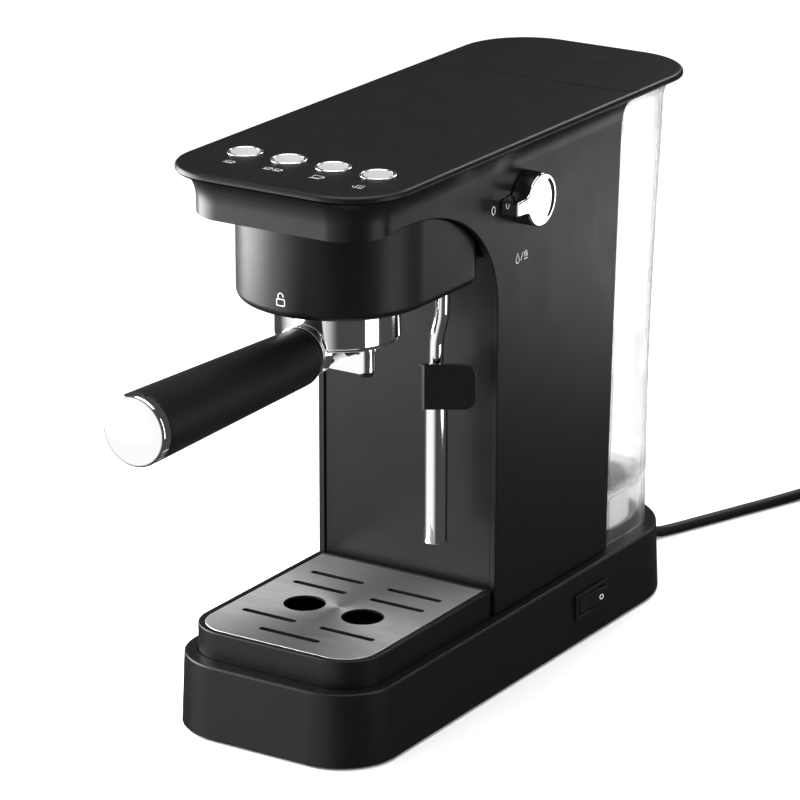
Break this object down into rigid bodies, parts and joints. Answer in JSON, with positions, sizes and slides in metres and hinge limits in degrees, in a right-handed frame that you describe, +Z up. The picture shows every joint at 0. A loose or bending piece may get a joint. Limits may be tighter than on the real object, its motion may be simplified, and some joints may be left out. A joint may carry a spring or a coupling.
{
  "type": "espresso machine",
  "caption": "Slim pump espresso machine with rear water tank, portafilter, steam wand, drip tray, push buttons on the lid, steam knob, side rocker switch and mains cord.",
  "frame": {"origin": "on the surface it stands on, under the middle of the whole length with the portafilter in place, on the left-right centreline", "axes": "+X to the machine's right seen from the front, +Y to its back, +Z up"},
  "size_m": [0.2224, 0.6826, 0.3089],
  "materials": {
    "black_housing": "matt black moulded plastic with a soft sheen",
    "black_lid": "matt black top cover",
    "black_soft": "black plastic",
    "grip_black": "soft-touch black handle",
    "chrome": "polished chrome",
    "button_cap": "pearl grey translucent cap",
    "brushed_steel": "brushed stainless",
    "aluminium": "cast",
    "brass": "turned",
    "rubber": "black rubber",
    "silicone": "translucent silicone",
    "clear_tank": "clear moulded tank, lightly frosted",
    "cord_black": "black PVC sheath",
    "board": "circuit board"
  },
  "bodies": {
    "machine": {"base_shell": "black_housing", "body_shell": "black_housing", "front_panel": "black_housing", "head_cover": "black_housing", "top_cover": "black_lid", "base_plate": "black_soft", "switch_housing": "black_soft", "button_ring_1": "chrome", "button_ring_2": "chrome", "button_ring_3": "chrome", "button_ring_4": "chrome", "shower_screen": "brushed_steel", "screen_screw": "brushed_steel", "pump": "brushed_steel", "plug_pin_1": "brushed_steel", "plug_pin_2": "brushed_steel", "group_block": "aluminium", "thermoblock": "aluminium", "bayonet_ring": "aluminium", "wand_socket": "brass", "steam_valve": "brass", "foot_1": "rubber", "foot_2": "rubber", "foot_3": "rubber", "foot_4": "rubber", "strain_relief": "rubber", "plug_body": "rubber", "group_gasket": "silicone", "steam_pipe": "silicone", "tank_seat": "silicone", "suction_hose": "silicone", "pressure_hose": "silicone", "cord": "cord_black", "cord_coil": "cord_black", "button_board": "board", "control_board": "board"},
    "drip_tray": {"drip_tray": "black_housing"},
    "drip_plate": {"drip_plate": "brushed_steel"},
    "power_rocker": {"switch_rocker": "black_soft"},
    "button_1": {"button_1": "button_cap"},
    "button_2": {"button_2": "button_cap"},
    "button_3": {"button_3": "button_cap"},
    "button_4": {"button_4": "button_cap"},
    "portafilter": {"portafilter_cup": "chrome", "filter_basket": "brushed_steel", "spout_arm": "chrome", "spout_tip_left": "black_soft", "spout_tip_right": "black_soft", "handle_ferrule": "chrome", "handle_grip": "grip_black", "handle_cap": "chrome"},
    "steam_wand": {"wand_ball": "brass", "wand_tube": "chrome", "wand_sleeve": "chrome", "wand_grip": "rubber"},
    "steam_knob": {"steam_knob": "chrome", "knob_shaft": "brushed_steel"},
    "water_tank": {"water_tank": "clear_tank", "tank_valve": "silicone"},
    "tank_lid": {"tank_lid": "black_lid"}
  },
  "joints": [
    {"name": "drip_tray_lift", "type": "slide", "parent": "machine", "child": "drip_tray", "axis": [0, 0, 1], "range_m": [0, 0.014]},
    {"name": "drip_plate_lift", "type": "slide", "parent": "drip_tray", "child": "drip_plate", "axis": [0, 0, 1], "range_m": [0, 0.014]},
    {"name": "power_rocker_tilt", "type": "hinge", "parent": "machine", "child": "power_rocker", "pos_m": [0.0605, 0.1121, 0.0223], "axis": [0, 0, 1], "range_deg": [0, 14]},
    {"name": "portafilter_turn", "type": "hinge", "parent": "machine", "child": "portafilter", "pos_m": [0, -0.04675, 0.236], "axis": [0, 0, 1], "range_deg": [0, 45]},
    {"name": "steam_wand_swing", "type": "hinge", "parent": "machine", "child": "steam_wand", "pos_m": [0.0366, -0.0024, 0.24], "axis": [0, -1, 0], "range_deg": [0, 35]},
    {"name": "steam_knob_turn", "type": "hinge", "parent": "machine", "child": "steam_knob", "pos_m": [0.06, 0.04685, 0.271], "axis": [1, 0, 0], "range_deg": [0, 90]},
    {"name": "water_tank_lift", "type": "slide", "parent": "machine", "child": "water_tank", "axis": [0, 0.0558, 0.9984], "range_m": [0, 0.15]},
    {"name": "tank_lid_hinge", "type": "hinge", "parent": "water_tank", "child": "tank_lid", "pos_m": [0, 0.14315, 0.308], "axis": [1, 0, 0], "range_deg": [0, 95]},
    {"name": "button_1_press", "type": "slide", "parent": "machine", "child": "button_1", "axis": [0, 0, -1], "range_m": [0, 0.0012], "stiffness_N_per_m": 400},
    {"name": "button_2_press", "type": "slide", "parent": "machine", "child": "button_2", "axis": [0, 0, -1], "range_m": [0, 0.0012], "stiffness_N_per_m": 400},
    {"name": "button_3_press", "type": "slide", "parent": "machine", "child": "button_3", "axis": [0, 0, -1], "range_m": [0, 0.0012], "stiffness_N_per_m": 400},
    {"name": "button_4_press", "type": "slide", "parent": "machine", "child": "button_4", "axis": [0, 0, -1], "range_m": [0, 0.0012], "stiffness_N_per_m": 400}
  ]
}
